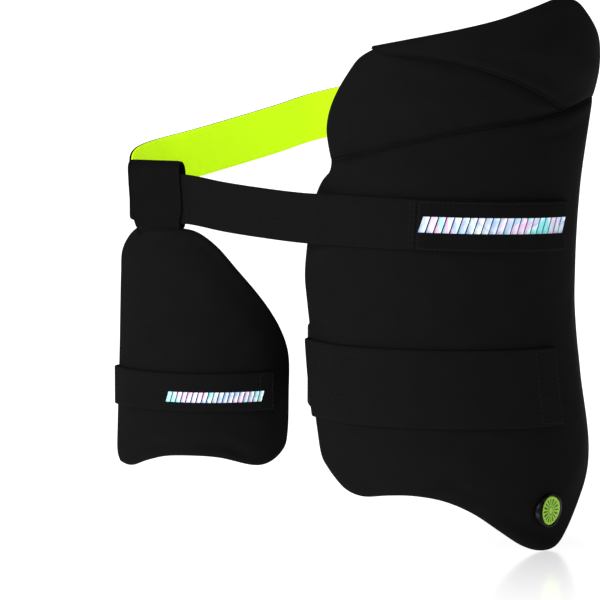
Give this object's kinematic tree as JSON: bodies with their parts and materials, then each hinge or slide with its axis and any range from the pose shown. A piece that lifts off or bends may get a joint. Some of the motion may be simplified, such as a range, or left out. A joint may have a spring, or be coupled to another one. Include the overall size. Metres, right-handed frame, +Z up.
{
  "type": "cricket thigh guard",
  "caption": "Outer and inner thigh pads of black covered foam on one waist belt with a bright lining, each with an elastic thigh strap",
  "frame": {"origin": "middle of the waist belt's loop, where the wearer's waist goes", "axes": "+Z up along the standing wearer, wearer's front faces -Y, +X towards the outer pad on the wearer's left thigh"},
  "size_m": [0.4014, 0.3038, 0.4515],
  "materials": {
    "cover_fabric": "matt stretch cover over foam",
    "elastic": "ribbed woven elastic",
    "bright_lining": "yellow-green knitted face of the elastic",
    "tab_fabric": "brushed loop fabric",
    "vent_rim": "moulded rubber, satin",
    "vent_centre": "moulded, satin"
  },
  "bodies": {
    "root": {"main_panel": "cover_fabric", "upper_panel": "cover_fabric", "hip_flap": "cover_fabric", "inner_pad": "cover_fabric", "waist_belt": "elastic", "belt_lining": "bright_lining", "belt_tab": "tab_fabric", "thigh_strap": "elastic", "inner_strap": "elastic", "inner_pad_loop": "tab_fabric", "vent_ring": "vent_rim", "vent_disc": "vent_centre"}
  },
  "joints": []
}
